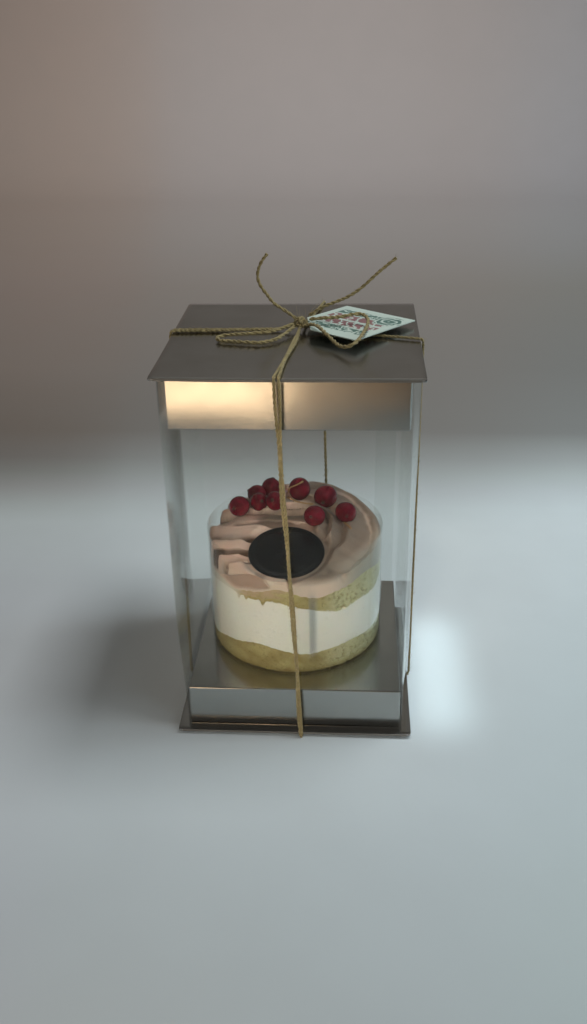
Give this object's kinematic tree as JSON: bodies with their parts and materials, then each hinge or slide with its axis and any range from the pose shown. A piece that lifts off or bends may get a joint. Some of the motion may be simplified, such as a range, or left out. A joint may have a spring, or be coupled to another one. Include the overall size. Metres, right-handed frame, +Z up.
{
  "type": "boxed mini layer cake",
  "caption": "Small round cream layer cake with piped pink cream, redcurrants and a dark chocolate disc, in a tall clear gift box with silver card ends, tied with jute twine and a tag.",
  "frame": {"origin": "middle of the box, on the surface it stands on", "axes": "+Z up, -Y towards the front of the box, +X to the right seen from the front"},
  "size_m": [0.1038, 0.104, 0.192],
  "materials": {
    "silver_card": "satin metallised silver",
    "clear_film": "clear glossy film",
    "sponge": "matt, porous cake crumb",
    "white_cream": "smooth, slightly moist",
    "pink_cream": "smooth, slightly moist, greyish pink",
    "chocolate": "dark, softly glossy",
    "redcurrant": "glossy, slightly see-through skin",
    "stalk": "matt, dry",
    "jute": "matt, twisted, slightly hairy",
    "tag_paper": null
  },
  "bodies": {
    "root": {"base_plate": "silver_card", "base_platform": "silver_card", "lid_insert": "silver_card", "lid_plate": "silver_card", "sleeve": "clear_film", "acetate_collar": "clear_film", "sponge_bottom": "sponge", "cream_white": "white_cream", "sponge_top": "sponge", "cream_swirl": "pink_cream", "chocolate_disc": "chocolate", "redcurrant_1": "redcurrant", "redcurrant_2": "redcurrant", "redcurrant_3": "redcurrant", "redcurrant_4": "redcurrant", "redcurrant_5": "redcurrant", "redcurrant_6": "redcurrant", "redcurrant_7": "redcurrant", "redcurrant_8": "redcurrant", "redcurrant_9": "redcurrant", "currant_stalk_1": "stalk", "currant_stalk_2": "stalk", "currant_stalk_3": "stalk", "twine_front": "jute", "twine_back": "jute", "twine_left": "jute", "twine_right": "jute", "twine_under_across": "jute", "twine_under_front": "jute", "twine_under_back": "jute", "twine_knot": "jute", "bow_loop_left": "jute", "bow_loop_right": "jute", "bow_tail_left": "jute", "bow_tail_right": "jute", "tag": "tag_paper"}
  },
  "joints": []
}
